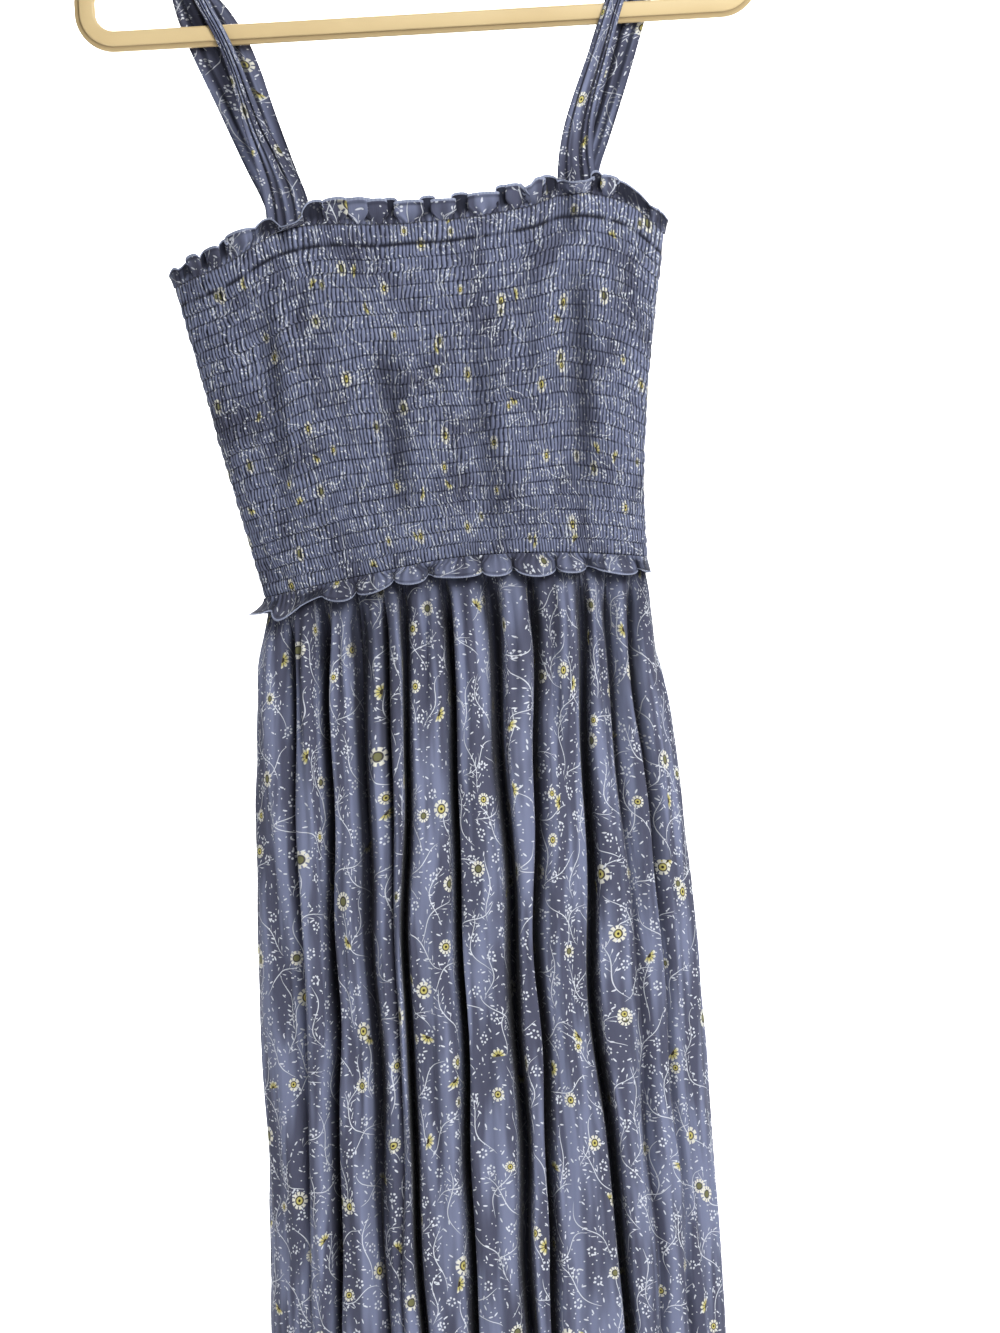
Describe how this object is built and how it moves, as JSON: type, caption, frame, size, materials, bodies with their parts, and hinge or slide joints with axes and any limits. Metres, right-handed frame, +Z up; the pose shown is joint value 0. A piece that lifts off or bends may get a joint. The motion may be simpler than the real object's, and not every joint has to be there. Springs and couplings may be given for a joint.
{
  "type": "smocked dress on a hanger",
  "caption": "Strappy sun dress with a shirred bodice, frilled neck and waist, and a long gathered skirt, hanging by its straps on a plain hanger.",
  "frame": {"origin": "inside the top of the hanger's hook, where it rests on a rod", "axes": "+Z up along the hanging dress, -Y out of its front, +X to the right as the front is seen"},
  "size_m": [0.42, 0.1377, 1.3265],
  "materials": {
    "smocked_cloth": "printed crinkled viscose, shirred",
    "frill_cloth": "printed crinkled viscose",
    "skirt_cloth": "printed crinkled viscose",
    "strap_cloth": "printed crinkled viscose",
    "hanger_moulding": "satin",
    "hook_wire": "polished"
  },
  "bodies": {
    "root": {"bodice_front": "smocked_cloth", "bodice_back": "smocked_cloth", "neck_frill_front": "frill_cloth", "neck_frill_back": "frill_cloth", "waist_frill_front": "frill_cloth", "waist_frill_back": "frill_cloth", "skirt_front": "skirt_cloth", "skirt_back": "skirt_cloth", "strap_left": "strap_cloth", "strap_right": "strap_cloth", "hanger_frame": "hanger_moulding", "hanger_hook": "hook_wire"}
  },
  "joints": []
}
